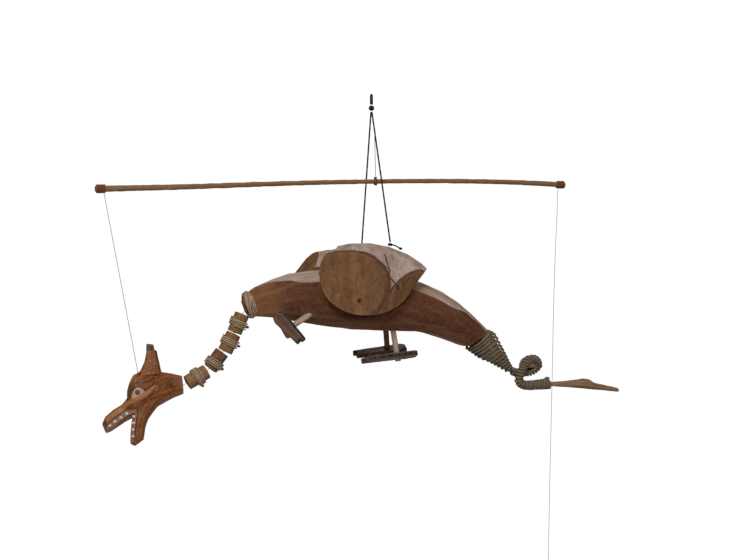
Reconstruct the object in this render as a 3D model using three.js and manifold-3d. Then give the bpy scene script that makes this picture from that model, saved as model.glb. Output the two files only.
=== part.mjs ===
// A string-worked mobile of a carved wooden creature: a wolf's head on a strung neck, an arched log body with
// two stub wings, four pegged feet and a rope-bound tail, hung on black cords under a natural stick.
// Millimetres. The creature faces -X, its left side is -Y and +Z is up.
// The origin is the top of the hanging loop.

import * as THREE from "three";
import { mergeVertices } from "three/addons/utils/BufferGeometryUtils.js";
import Module from "manifold-3d";

const wasm = await Module();
wasm.setup();

// ---- Driving dimensions ----
const GAP = 0.3; // between pieces that touch

const CORD = 2.0; // black hanging cord
const NYLON = 0.7; // head line, pull line and neck line
const THREAD = 0.8; // tie of the stick
const HANG_KNOT = { x: 0, z: -17.5, width: 7, height: 8 };
const LOOP = { height: 13, width: 4, shoulder: 2.4 };

const STICK = {
  route: [
    [-333, -7, -118.5],
    [-235, -5, -115],
    [-66, -1.5, -107.5],
    [89, 2, -103.5],
    [200, 4.5, -103.8],
    [263, 6, -106],
  ],
  radius: [3.7, 3.3, 3.0, 2.9, 3.1, 3.5],
  tie: 5.2, // where along X it hangs
  sides: 8,
};
const BINDING = { length: 11, depth: 0.9, turns: 4, clear: 0.4, places: { left: -326.5, right: 256.5 } };
const TIE = { depth: 0.9, pitch: 1.3, turns: 2 };

const WING = {
  centre: [-23, 27, -275],
  dome: [115, 31, 96], // natural log surface, as the radii of an ellipsoid
  bowl: [58.5, 42], // rounded underside in side view
  bowlCentre: [-21, -222],
  crown: [21.5, 30], // rounded front of the left wing in side view
  crownCentre: [-60, -216],
  shear: 0.38, // how far the underside runs back for each millimetre inward
  shearFrom: 45,
  farShift: [-12, 0, -8], // the right wing is set forward and lower, as carved by hand
  rearEdge: { x: 60, z: -203.5 }, // the upright end behind the bowl
  sky: -150, // above any of it
  // Sawn faces, each as a point on it and where it looks: along X, outward and up.
  oval: { point: [-58.4, 37.3, -186], looks: [-0.123, 0.971, 0.204] },
  rearChamfer: { point: [-2.2, 56.1, -246.6], looks: [0.365, 0.92, -0.127] },
  middle: { point: [0, 8, 0], looks: [0, -1, 0] },
  seat: { point: [0, 8, -214], looks: [0, -0.866, -0.5] },
  farFacet: { point: [-60.8, 38, -192.4], looks: [-0.79, -0.22, 0.58] }, // right wing only
};
const LEDGE = { width: 3.4, insideY: 34.6, depth: 20 };
// Facets hewn on both shoulders of the body.
const SHOULDERS = [
  { point: [-140, 13, -235.5], looks: [-0.5, 0.6, 0.62] },
  { point: [-128, 22.5, -248], looks: [-0.42, 0.9, -0.06] },
];

const NECK = { radius: 8.8, bore: 1.1, sides: 12 };
const WRAP = { turns: 4, pitch: 2.35, depth: 1.9, sides: 10, turned: -0.4 };
const HEAD_PIVOT = [-231.5, 0, -342.7];
const HEAD_ROLL = 24; // degrees, near side up
const LEG_RADIUS = 3.5;
const FOOT = { thickness: 6.5, heel: 17, toe: 12 };
const ROPE = { turns: 11, depth: 1.3 };
const TAIL = { pitch: 5.6, shank: 3.2 };

const COLOURS = {
  blackCord: 0x1a1713,
  clearLine: 0xb9bab8,
  orangeThread: 0xb5521f,
  stick: 0xa4622c,
  flank: 0x6e2f12,
  wing: 0xc8a488,
  head: 0xa14a12,
  tan: 0xb57328,
  darkSegment: 0x5c1a0a,
  cream: 0xd8c39a,
  foot: 0x7a4a34,
  tailRope: 0x7d6c4b,
  blade: 0x9a6a45,
};

// ---- Meshes and booleans ----
const group = new THREE.Group();

function add(name, geometry, colour, roughness = 0.75) {
  const material = new THREE.MeshStandardMaterial({ color: colour, roughness, metalness: 0 });
  const mesh = new THREE.Mesh(geometry, material);
  mesh.name = name;
  group.add(mesh);
  return mesh;
}

function solid(geometry) {
  const bare = geometry.clone();
  bare.deleteAttribute("normal");
  bare.deleteAttribute("uv");
  const merged = mergeVertices(bare, 1e-4);
  return new wasm.Manifold(
    new wasm.Mesh({
      numProp: 3,
      vertProperties: new Float32Array(merged.attributes.position.array),
      triVerts: new Uint32Array(merged.index.array),
    }),
  );
}

function shapeOf(manifold) {
  const mesh = manifold.getMesh();
  const geometry = new THREE.BufferGeometry();
  geometry.setAttribute("position", new THREE.BufferAttribute(mesh.vertProperties, 3));
  geometry.setIndex(new THREE.BufferAttribute(mesh.triVerts, 1));
  return geometry;
}

function join(geometries) {
  return geometries.map(solid).reduce((whole, piece) => whole.add(piece));
}

function vector(point) {
  return new THREE.Vector3(...point);
}

// A closed skin through rings of points, each ring with the same count, with flat ends.
function loft(rings) {
  const count = rings[0].length;
  const positions = rings.flat().flatMap((p) => [p.x, p.y, p.z]);
  const index = [];
  for (let k = 0; k + 1 < rings.length; k += 1) {
    for (let i = 0; i < count; i += 1) {
      const j = (i + 1) % count;
      const a = k * count + i;
      const b = k * count + j;
      index.push(a, b, b + count, a, b + count, a + count);
    }
  }
  const ends = [rings[0], rings[rings.length - 1]];
  ends.forEach((ring, end) => {
    const centre = ring.reduce((sum, p) => sum.add(p), new THREE.Vector3()).divideScalar(count);
    const hub = positions.length / 3;
    const first = end * (rings.length - 1) * count;
    positions.push(centre.x, centre.y, centre.z);
    for (let i = 0; i < count; i += 1) {
      const j = (i + 1) % count;
      index.push(hub, first + (end ? i : j), first + (end ? j : i));
    }
  });
  const geometry = new THREE.BufferGeometry();
  geometry.setAttribute("position", new THREE.Float32BufferAttribute(positions, 3));
  geometry.setIndex(index);
  return geometry;
}

function smooth(points) {
  return new THREE.CatmullRomCurve3(points.map(vector), false, "centripetal");
}

function flatCurve(points) {
  return smooth(points.map(([x, z]) => [x, 0, z]));
}

// A straight-line table over 0..1, read at t.
function along(values) {
  return (t) => {
    const place = t * (values.length - 1);
    const k = Math.min(Math.floor(place), values.length - 2);
    return THREE.MathUtils.lerp(values[k], values[k + 1], place - k);
  };
}

// A carved form between a top line and a bottom line, both in the middle plane. half(t) gives one side of the
// section, from the bottom to the top, as [share of the half width, share of the height].
function carved({ top, bottom, width, half, steps, from = 0, to = 1, grow = () => 0 }) {
  const rings = [];
  for (let k = 0; k <= steps; k += 1) {
    const t = THREE.MathUtils.lerp(from, to, k / steps);
    const high = top.getPoint(t);
    const low = bottom.getPoint(t);
    const up = high.clone().sub(low).normalize();
    high.addScaledVector(up, grow(t));
    low.addScaledVector(up, -grow(t));
    const ahead = top.getPoint(Math.min(t + 0.01, 1)).add(bottom.getPoint(Math.min(t + 0.01, 1)));
    const behind = top.getPoint(Math.max(t - 0.01, 0)).add(bottom.getPoint(Math.max(t - 0.01, 0)));
    const side = up.clone().cross(ahead.sub(behind)).normalize();
    const reach = width(t) + grow(t);
    const profile = half(t);
    const mirrored = profile.slice(1, -1).reverse().map(([y, v]) => [-y, v]);
    const place = ([y, v]) => low.clone().lerp(high, v).addScaledVector(side, y * reach);
    rings.push([...profile, ...mirrored].map(place));
  }
  return loft(rings);
}

// A round form along a curve, with its own radius at each place.
function turned(curve, radius, steps, sides) {
  const frames = curve.computeFrenetFrames(steps, false);
  const rings = [];
  for (let k = 0; k <= steps; k += 1) {
    const centre = curve.getPointAt(k / steps);
    const ring = [];
    for (let i = 0; i < sides; i += 1) {
      const angle = (2 * Math.PI * i) / sides;
      const out = frames.normals[k].clone().multiplyScalar(Math.cos(angle));
      out.addScaledVector(frames.binormals[k], Math.sin(angle));
      ring.push(centre.clone().addScaledVector(out, radius(k / steps)));
    }
    rings.push(ring);
  }
  return loft(rings);
}

// A cord of round section along straight or gently bent stretches.
function cordTube(points, diameter, steps = points.length - 1) {
  const section = new THREE.Shape();
  section.absarc(0, 0, diameter / 2, 0, 2 * Math.PI);
  return new THREE.ExtrudeGeometry(section, { steps, curveSegments: 4, extrudePath: smooth(points) });
}

function rod(from, to, radius, sides = 12) {
  const axis = vector(to).sub(vector(from));
  const cylinder = new THREE.CylinderGeometry(radius, radius, axis.length(), sides);
  cylinder.applyQuaternion(new THREE.Quaternion().setFromUnitVectors(vector([0, 1, 0]), axis.normalize()));
  const middle = vector(from).add(vector(to)).multiplyScalar(0.5);
  return cylinder.translate(middle.x, middle.y, middle.z);
}

// A big block whose face passes through a point and looks along a direction, to cut off what lies beyond.
function beyond(point, direction, size = 400) {
  const block = new THREE.BoxGeometry(size, size, size).translate(0, 0, size / 2);
  const facing = vector(direction).normalize();
  block.applyQuaternion(new THREE.Quaternion().setFromUnitVectors(vector([0, 0, 1]), facing));
  return solid(block.translate(...point));
}

function ball(centre, radii, segments = 10, rings = 8) {
  const sphere = new THREE.SphereGeometry(1, segments, rings);
  return sphere.scale(...radii).translate(...centre);
}

// A coil of cord round a bore, made as one ribbed ring on the Z axis.
function ribbedRing(bore, depth, pitch, turns, segments) {
  const profile = [new THREE.Vector2(bore, 0)];
  for (let k = 0; k < turns; k += 1) {
    profile.push(new THREE.Vector2(bore + depth * 0.45, (k + 0.05) * pitch));
    profile.push(new THREE.Vector2(bore + depth, (k + 0.5) * pitch));
  }
  profile.push(new THREE.Vector2(bore + depth * 0.45, turns * pitch));
  profile.push(new THREE.Vector2(bore, turns * pitch));
  profile.push(profile[0].clone());
  const ring = new THREE.LatheGeometry(profile, segments);
  return ring.rotateX(Math.PI / 2).translate(0, 0, (-turns * pitch) / 2);
}

function laidAlong(geometry, middle, direction) {
  const axis = direction.clone().normalize();
  geometry.applyQuaternion(new THREE.Quaternion().setFromUnitVectors(vector([0, 0, 1]), axis));
  return geometry.translate(middle.x, middle.y, middle.z);
}

// ---- Body ----
const bodyTop = flatCurve([
  [-162, -247],
  [-157.5, -240],
  [-149, -233],
  [-130, -224.5],
  [-102, -215],
  [-40, -211.5],
  [20, -217],
  [76, -231.5],
  [116, -255],
  [152.7, -287],
]);
const bodyBottom = flatCurve([
  [-152.6, -263.6],
  [-146.5, -265],
  [-138, -265.6],
  [-118, -267.5],
  [-91, -273],
  [-35, -281.5],
  [15, -284.5],
  [62, -287.5],
  [95, -297],
  [121.6, -307],
]);
const bodyWidth = along([9.8, 13, 19.5, 27, 33.5, 38, 37.5, 34, 27, 17]);

function bodyHalf(t) {
  const crown = along([0.3, 0.3, 0.26, 0.18, 0.18, 0.18, 0.2, 0.27, 0.28, 0.3])(t);
  return [
    [0, 0],
    [0.66, 0],
    [0.93, 0.15],
    [1, 0.48],
    [0.92, 1 - crown],
    [0.66, 1 - 0.46 * crown],
    [0.34, 1 - 0.12 * crown],
    [0, 1],
  ];
}

function bodyForm(options = {}) {
  const form = { top: bodyTop, bottom: bodyBottom, width: bodyWidth, half: bodyHalf, steps: 16 };
  return carved({ ...form, ...options });
}

// ---- Wings ----
// One wing, as a stub of log: a natural dome with a rounded underside, sawn by planes. side is -1 for the
// left wing. grow moves every face outward, for the seat in the body.
function wingOutline(side, grow) {
  const [bx, bz] = WING.bowlCentre;
  const [rx, rz] = WING.bowl.map((r) => r + grow);
  const [cx, cz] = WING.crownCentre;
  const [ux, uz] = WING.crown.map((r) => r + grow);
  const { rearEdge, sky } = WING;
  const outline = new THREE.Shape();
  if (side < 0) {
    outline.moveTo(cx, sky);
    outline.lineTo(cx, cz + uz);
    outline.absellipse(cx, cz, ux, uz, Math.PI / 2, Math.PI, false);
  } else {
    outline.moveTo(bx - rx, sky);
    outline.lineTo(bx - rx, bz + 1);
  }
  outline.absellipse(bx, bz, rx, rz, Math.PI, 2 * Math.PI - 0.3, false);
  outline.lineTo(rearEdge.x + grow, rearEdge.z - grow);
  outline.lineTo(rearEdge.x + grow, sky);
  return outline;
}

function wingSolid(side, grow = 0) {
  const shift = side > 0 ? WING.farShift : [0, 0, 0];
  const at = (x, outward, z) => [x + shift[0], side * outward, z + shift[2]];
  const sawn = ({ point, looks: [nx, out, nz] }) => {
    const normal = vector([nx, side * out, nz]).normalize();
    return beyond(vector(at(...point)).addScaledVector(normal, grow).toArray(), normal.toArray());
  };
  const [cx, cy, cz] = WING.centre;
  const radii = WING.dome.map((r) => r + grow);
  const dome = solid(ball(at(cx, cy, cz), radii, 30, 22));
  const outline = wingOutline(side, grow);
  const depth = 90;
  const prism = new THREE.ExtrudeGeometry(outline, { depth, bevelEnabled: false, curveSegments: 12 });
  prism.rotateX(Math.PI / 2).translate(WING.shear * WING.shearFrom, side < 0 ? 0 : depth, 0);
  const lean = new THREE.Matrix4().makeShear(0, 0, -side * WING.shear, 0, 0, 0);
  prism.applyMatrix4(lean.setPosition(...shift));
  const faces = [WING.oval, WING.rearChamfer, WING.middle, WING.seat, ...(side > 0 ? [WING.farFacet] : [])];
  return faces.reduce((stub, face) => stub.subtract(sawn(face)), dome.intersect(solid(prism)));
}

const wings = { left: wingSolid(-1), right: wingSolid(1) };
add("wing_left", shapeOf(wings.left), COLOURS.wing);
add("wing_right", shapeOf(wings.right), COLOURS.wing);

// ---- Legs: hip inside the body, ankle in the foot, then the foot's lengthways and downward directions ----
const LEGS = [
  {
    name: "front_left",
    hip: [-80, -24, -259.5],
    ankle: [-116.5, -44, -277.5],
    toes: [0.63, -0.27, -0.74],
    sole: [-0.62, -0.7, -0.35],
    foot: { length: 45, heelShare: 0.5, cleft: 3, spur: 3 },
    peg: -2.4,
  },
  {
    name: "front_right",
    hip: [-68, 22, -262],
    ankle: [-100, 43, -273],
    toes: [0.5, 0.2, -0.84],
    sole: [-0.6, 0.7, -0.35],
    foot: { length: 48, heelShare: 0.5, cleft: 3, spur: 3 },
    peg: -2.4,
  },
  {
    name: "rear_left",
    hip: [18.5, -19, -272],
    ankle: [25, -22, -315],
    toes: [-1, -0.03, -0.085],
    sole: [0, -0.3, -0.95],
    foot: { length: 71, heelShare: 0.36, cleft: 12, spur: 1.5 },
    peg: 3,
  },
  {
    name: "rear_right",
    hip: [24, 18, -272],
    ankle: [28.5, 21, -311],
    toes: [-1, 0.02, -0.1],
    sole: [0, 0.35, -0.94],
    foot: { length: 68, heelShare: 0.36, cleft: 8, spur: 1.5 },
    peg: 1,
  },
];

// A foot lying flat, seen from above: blunt heel toward +X, forked toes toward -X, the ankle at the origin.
function footBoard({ length, heelShare, cleft, spur }) {
  const heel = length * heelShare;
  const toe = length - heel;
  const wide = FOOT.heel / 2;
  const narrow = FOOT.toe / 2;
  const outline = new THREE.Shape();
  outline.moveTo(heel - 1, -wide * 0.72);
  outline.lineTo(heel, wide * 0.5);
  outline.lineTo(heel - 5, wide);
  outline.lineTo(-toe + 16, narrow + 0.8);
  outline.lineTo(-toe + 3, narrow);
  outline.lineTo(-toe, narrow - 1.4);
  outline.lineTo(-toe + 0.4, 1.6);
  outline.lineTo(-toe + cleft, 0.4);
  outline.lineTo(-toe + 2.6, -1.2);
  outline.lineTo(-toe + 2, -narrow + 1);
  outline.lineTo(-toe + 5, -narrow);
  outline.lineTo(-toe + 14, -narrow - 0.6);
  outline.lineTo(-toe + 15.5, -narrow - 0.8 - spur);
  outline.lineTo(-toe + 20, -narrow - 1 - spur * 0.8);
  outline.lineTo(-toe + 22, -narrow - 1.4);
  outline.lineTo(heel - 6, -wide);
  const bevel = { bevelSize: 0.8, bevelThickness: 0.8, bevelSegments: 1, bevelOffset: -0.8 };
  const board = new THREE.ExtrudeGeometry(outline, { depth: FOOT.thickness - 1.6, ...bevel });
  return board.translate(0, 0, -FOOT.thickness / 2 + 0.8);
}

const legHoles = [];
for (const { name, hip, ankle, toes, sole, foot, peg } of LEGS) {
  const down = vector(ankle).sub(vector(hip)).normalize();
  const end = vector(ankle).addScaledVector(down, FOOT.thickness / 2 + peg);
  add(`leg_${name}`, rod(hip, end.toArray(), LEG_RADIUS), COLOURS.cream);
  const blind = vector(hip).addScaledVector(down, -GAP);
  const past = end.clone().addScaledVector(down, peg < 0 ? GAP : 30);
  const hole = solid(rod(blind.toArray(), past.toArray(), LEG_RADIUS + GAP));
  legHoles.push(hole);

  const heelward = vector(toes).negate().normalize();
  const over = vector(sole).negate();
  over.addScaledVector(heelward, -over.dot(heelward)).normalize();
  const turn = new THREE.Matrix4().makeBasis(heelward, over.clone().cross(heelward), over);
  const board = footBoard(foot).applyMatrix4(turn.setPosition(...ankle));
  add(`foot_${name}`, shapeOf(solid(board).subtract(hole)), COLOURS.foot);
}

// ---- The ledge cut in the body round each wing ----
function ledge(side) {
  const shift = side > 0 ? WING.farShift : [0, 0, 0];
  const outline = new THREE.Shape();
  const [rx, rz] = WING.bowl.map((r) => r + LEDGE.width);
  outline.absellipse(WING.bowlCentre[0], WING.bowlCentre[1], rx, rz, 0, 2 * Math.PI);
  const disc = new THREE.ExtrudeGeometry(outline, {
    depth: LEDGE.depth,
    bevelEnabled: false,
    curveSegments: 12,
  });
  const outer = side < 0 ? -LEDGE.insideY : LEDGE.insideY + LEDGE.depth;
  return solid(disc.rotateX(Math.PI / 2).translate(shift[0], outer, shift[2]));
}

// ---- Lashing on the body's front stub ----
function onStub(from, to, grow, steps) {
  return solid(bodyForm({ from, to, steps, grow }));
}
const LASHING = { from: 0.028, to: 0.128, turns: 4, depth: 2 };
function lashingRib(t) {
  const turn = ((t - LASHING.from) / (LASHING.to - LASHING.from)) * LASHING.turns;
  return GAP + LASHING.depth * (0.6 + 0.4 * Math.abs(Math.sin(Math.PI * turn)));
}
const lashing = onStub(LASHING.from, LASHING.to, lashingRib, LASHING.turns * 2);
add("neck_lashing", shapeOf(lashing.subtract(onStub(0, 0.3, () => GAP, 8))), COLOURS.cream);

// ---- Neck ----
const SEGMENTS = [
  { from: [-160.8, -262.5], to: [-170.3, -283.6], wrapAt: 0.5, colour: COLOURS.tan },
  { from: [-171, -285.2], to: [-181.6, -305.6], wrapAt: 0.46, colour: COLOURS.tan },
  { from: [-185.2, -306.6], to: [-199.4, -325], wrapAt: 0.66, colour: COLOURS.darkSegment },
  { from: [-203.6, -328.2], to: [-226.6, -341], wrapAt: 0.46, colour: COLOURS.tan },
];
const STUB_HOLE = [-153.5, -251.6];
const HEAD_HOLE = [-234.5, -345];
const NECK_STEPS = 12; // the line and the bore it runs in have the same stretches
const neckPath = flatCurve([STUB_HOLE, ...SEGMENTS.flatMap(({ from, to }) => [from, to]), HEAD_HOLE]);
const boreSection = new THREE.Shape().absarc(0, 0, NECK.bore, 0, 2 * Math.PI);
const neckBore = solid(
  new THREE.ExtrudeGeometry(boreSection, { steps: NECK_STEPS, curveSegments: 3, extrudePath: neckPath }),
);

SEGMENTS.forEach(({ from, to, wrapAt, colour }, k) => {
  const start = vector([from[0], 0, from[1]]);
  const end = vector([to[0], 0, to[1]]);
  const axis = end.clone().sub(start);
  const barrel = solid(rod(start.toArray(), end.toArray(), NECK.radius, NECK.sides));
  add(`neck_segment_${k + 1}`, shapeOf(barrel.subtract(neckBore)), colour);

  const ring = ribbedRing(NECK.radius + 2 * GAP, WRAP.depth, WRAP.pitch, WRAP.turns, WRAP.sides);
  const place = start.clone().lerp(end, wrapAt);
  const knot = ball([NECK.radius + WRAP.depth + 1, 1, 0.6], [1.9, 1.8, 2.2], 6, 4);
  const wrap = shapeOf(join([ring, knot]));
  add(`neck_wrap_${k + 1}`, laidAlong(wrap.rotateZ(WRAP.turned), place, axis), COLOURS.cream);
});

// ---- The body's seats, ledges, facets and holes ----
let body = solid(bodyForm());
for (const side of [-1, 1]) {
  body = body.subtract(wingSolid(side, GAP)).subtract(ledge(side));
  for (const { point: [x, y, z], looks: [nx, ny, nz] } of SHOULDERS) {
    body = body.subtract(beyond([x, side * y, z], [nx, side * ny, nz]));
  }
}
for (const hole of [...legHoles, neckBore]) body = body.subtract(hole);
add("body", shapeOf(body), COLOURS.flank);

// ---- Head ----
const headTop = flatCurve([
  [-232.3, -333.2],
  [-247, -329.2],
  [-262, -326.6],
  [-276, -325.2],
  [-286.5, -329],
  [-292.5, -339],
  [-295.8, -350],
  [-296.5, -360],
  [-308.5, -367.5],
  [-320, -375.8],
  [-324.6, -384.5],
]);
const headBottom = flatCurve([
  [-231.2, -352.2],
  [-244.5, -357],
  [-256.6, -363],
  [-269, -369],
  [-279, -373],
  [-285, -375.5],
  [-289, -376.6],
  [-294, -378],
  [-304, -384.3],
  [-315, -391.6],
  [-321, -394],
]);
const headWidth = along([10, 11, 13.5, 16, 17.5, 16.5, 13.8, 12, 11, 9.5, 7]);
const lipShare = along([0.62, 0.62, 0.62, 0.62, 0.62, 0.66, 0.8, 0.92, 0.94, 0.94, 0.9]);
const jawBack = flatCurve([
  [-258, -362],
  [-266, -371.5],
  [-272.4, -380],
  [-276, -390],
  [-278.4, -404],
  [-288, -411],
]);
const jawFront = flatCurve([
  [-283, -363],
  [-286.8, -370.5],
  [-290.4, -379],
  [-292.2, -388],
  [-293.4, -400],
  [-293.8, -408],
]);
const jawWidth = along([14, 13, 12, 10.8, 9.4, 7]);
const EAR = { lateral: 8.6, lean: 3.2, drop: -2 }; // the right one leans back and sits lower
const earBack = flatCurve([
  [-257, -332],
  [-258.6, -322],
  [-260.8, -311],
  [-263.2, -296],
]);
const earFront = flatCurve([
  [-284, -334],
  [-277, -321.5],
  [-272.6, -309],
  [-271.6, -294.5],
]);

function chamfered() {
  return [
    [0, 0],
    [0.62, 0.02],
    [0.93, 0.2],
    [1, 0.5],
    [0.93, 0.8],
    [0.6, 0.98],
    [0, 1],
  ];
}

function headHalf(t) {
  const lip = lipShare(t);
  return [[0, 0], [lip, 0], [Math.max(0.93, lip + 0.04), 0.2], ...chamfered().slice(3)];
}

function ear(side) {
  const lean = side > 0 ? EAR.lean : 0;
  const form = carved({
    top: earFront,
    bottom: earBack,
    width: along([6.6, 5.6, 4.6, 3.2]),
    half: chamfered,
    steps: 4,
  });
  return form.translate(lean, side * EAR.lateral, side > 0 ? EAR.drop : 0);
}

// A raised ridge left by the knife on one cheek, as a round bar half sunk in the head.
function ridge(side, route, radius) {
  const curve = smooth(route.map(([x, y, z]) => [x, side * y, z]));
  return turned(curve, along([radius * 0.6, radius, radius, radius, radius * 0.7]), 4, 6);
}

const headPieces = [
  carved({ top: headTop, bottom: headBottom, width: headWidth, half: headHalf, steps: 12 }),
  carved({ top: jawBack, bottom: jawFront, width: jawWidth, half: chamfered, steps: 5 }),
  ear(-1),
  ear(1),
];
const CHEEK = {
  radius: 3.4,
  route: [
    [-303, 9, -370],
    [-293, 11.8, -365],
    [-281, 14.6, -361],
    [-270, 15, -353.5],
    [-263, 13.6, -346],
  ],
};
const BROW = {
  radius: 2.2,
  route: [
    [-289.5, 11.6, -343.5],
    [-281, 14.8, -342],
    [-272, 14.2, -339.5],
    [-264, 12, -334],
  ],
};
const EYE = { place: [-283.4, 14, -352.4], radii: [8, 4.2, 6.6] };
const SOCKET = { from: [-229, 0, -341.5], to: [-237, 0, -346.5] };
for (const side of [-1, 1]) {
  headPieces.push(ridge(side, CHEEK.route, CHEEK.radius));
  headPieces.push(ridge(side, BROW.route, BROW.radius));
  const [x, y, z] = EYE.place;
  headPieces.push(ball([x, side * y, z], EYE.radii, 8, 6));
}
const head = join(headPieces);
const socket = rod(SOCKET.from, SOCKET.to, NECK.bore, 8);
const headShape = shapeOf(head.subtract(solid(socket)));
headShape.translate(-HEAD_PIVOT[0], 0, -HEAD_PIVOT[2]);
const headMesh = add("head", headShape, COLOURS.head, 0.6);
headMesh.position.set(...HEAD_PIVOT);
const snoutAxis = vector([-0.86, 0, -0.51]);
headMesh.quaternion.setFromAxisAngle(snoutAxis, THREE.MathUtils.degToRad(HEAD_ROLL));

// ---- Tail ----
const coneTop = flatCurve([
  [153.2, -287],
  [162.2, -291.4],
  [170.5, -305],
  [177.3, -316.7],
  [183, -327.5],
  [188.4, -336],
]);
const coneBottom = flatCurve([
  [121.8, -307.6],
  [130.5, -314],
  [141.5, -321.5],
  [157, -328],
  [169, -334.5],
  [183.2, -342.4],
]);
function roundHalf() {
  return Array.from({ length: 6 }, (_, k) => {
    const angle = -Math.PI / 2 + (Math.PI * k) / 5;
    return [Math.cos(angle), 0.5 + 0.5 * Math.sin(angle)];
  });
}
function ropeRib(t) {
  return ROPE.depth * Math.abs(Math.sin(Math.PI * ROPE.turns * t)) - 0.2;
}
const cone = carved({
  top: coneTop,
  bottom: coneBottom,
  width: along([17, 16.4, 14.2, 11, 7.6, 5]),
  half: roundHalf,
  steps: ROPE.turns * 2,
  grow: ropeRib,
});
const CONE_START = { point: [137.2, 0, -297.4], looks: [-0.538, 0, 0.843] }; // the body's sawn end
const coneClear = beyond(CONE_START.point, CONE_START.looks);
add("tail_binding", shapeOf(solid(cone).subtract(coneClear)), COLOURS.tailRope, 0.95);

const tailKnotRoute = [
  [186.2, 0, -339.7],
  [194, 3, -341.5],
  [205, 6.5, -343],
  [217, 5, -341],
  [223.5, 1, -334.5],
  [220, -3, -327],
  [212.5, -5, -324.3],
  [204.5, -6.5, -328],
  [199, -7.5, -335],
  [194.5, -8, -343],
  [193.5, -6, -350.5],
  [200, -3, -356.5],
  [213, 0, -358.2],
  [226, 0, -357.6],
  [238.5, 0, -356.8],
];
const tailCurve = smooth(tailKnotRoute);
const tailRadius = along([5.2, 5.2, 5.2, 5.2, 5.2, 5.3, 5.6, 6, 6.6, 7.4]);
const tailTurns = Math.round(tailCurve.getLength() / TAIL.pitch);
const ribbed = (t) => tailRadius(t) * (0.9 + 0.1 * Math.abs(Math.sin(Math.PI * tailTurns * t)));
const tail = turned(tailCurve, ribbed, tailTurns * 2, 6);
const shankHole = solid(rod([228, 0, -357.4], [246, 0, -357.8], TAIL.shank));
const tailNub = ball([236, 0, -350.2], [2.6, 2.4, 2.2], 6, 4);
const coneEnd = beyond([186.4, 0, -339.9], [-0.75, 0, 0.5], 60);
const tailRope = join([tail, tailNub]).subtract(shankHole).subtract(coneEnd);
add("tail_rope", shapeOf(tailRope), COLOURS.tailRope, 0.95);

const bladeTop = flatCurve([
  [229, -354.9],
  [243, -354.6],
  [265, -354],
  [288, -352],
  [296, -353.6],
  [300, -356.6],
  [312, -360],
  [336, -365.4],
]);
const bladeBottom = flatCurve([
  [229, -360],
  [243, -360.6],
  [262, -362.4],
  [284, -364.6],
  [295, -366],
  [303, -367],
  [316, -368.2],
  [336, -370.8],
]);
function bladeHalf(t) {
  const edge = along([0.5, 0.5, 0.42, 0.36, 0.34, 0.38, 0.4, 0.45])(t);
  return [
    [0, 0],
    [0.72, 0.1],
    [1, edge],
    [0.62, 0.84],
    [0, 1],
  ];
}
const blade = carved({
  top: bladeTop,
  bottom: bladeBottom,
  width: along([2.6, 3, 5.6, 10.6, 12.4, 11.4, 8.4, 5.6]),
  half: bladeHalf,
  steps: 12,
});
add("tail_blade", blade, COLOURS.blade);

// ---- Stick and what is tied on it ----
const stickCurve = smooth(STICK.route);
const stickRadius = along(STICK.radius);
add("stick", turned(stickCurve, stickRadius, 16, STICK.sides), COLOURS.stick);

function stickPlace(x) {
  const [first, last] = [STICK.route[0][0], STICK.route[STICK.route.length - 1][0]];
  let t = (x - first) / (last - first);
  for (let k = 0; k < 6; k += 1) t += (x - stickCurve.getPointAt(t).x) / (last - first);
  return { point: stickCurve.getPointAt(t), along: stickCurve.getTangentAt(t), radius: stickRadius(t) };
}

for (const [end, x] of Object.entries(BINDING.places)) {
  const place = stickPlace(x);
  const pitch = BINDING.length / BINDING.turns;
  const ring = ribbedRing(place.radius + BINDING.clear, BINDING.depth, pitch, BINDING.turns, 8);
  add(`stick_binding_${end}`, laidAlong(ring, place.point, place.along), COLOURS.orangeThread);
}

const tie = stickPlace(STICK.tie);
const tieCoil = ribbedRing(tie.radius + BINDING.clear, TIE.depth, TIE.pitch, TIE.turns, 8);
const tieRing = laidAlong(tieCoil, tie.point, tie.along);
const tieTop = tie.point.clone().add(vector([0, 0, tie.radius + 2]));
const tieNub = tie.point.clone().add(vector([1, 0, -tie.radius - 1.5]));
const tieKnots = [ball(tieTop.toArray(), [2, 1.7, 1.6], 6, 4), ball(tieNub.toArray(), [1.1, 1, 1.2], 6, 4)];
add("stick_tie", shapeOf(join([tieRing, ...tieKnots])), COLOURS.orangeThread);

// ---- Cords ----
function knotBall([x, y, z], radius, height) {
  return ball([x, y, z], [radius, radius * 0.9, height / 2], 8, 6);
}

const loopHalf = LOOP.width / 2 - CORD / 2;
const loopRoute = [
  [-loopHalf, 0, -LOOP.height],
  [-loopHalf, 0, -LOOP.height * 0.5],
  [-loopHalf * 0.9, 0, -LOOP.shoulder],
  [0, 0, -CORD / 2],
  [loopHalf * 0.9, 0, -LOOP.shoulder],
  [loopHalf, 0, -LOOP.height * 0.5],
  [loopHalf, 0, -LOOP.height],
];
add("hanging_loop", cordTube(loopRoute, CORD, 10), COLOURS.blackCord);
const hangKnot = knotBall([HANG_KNOT.x, 0, HANG_KNOT.z], HANG_KNOT.width / 2, HANG_KNOT.height);
add("hanging_knot", hangKnot, COLOURS.blackCord);

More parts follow.
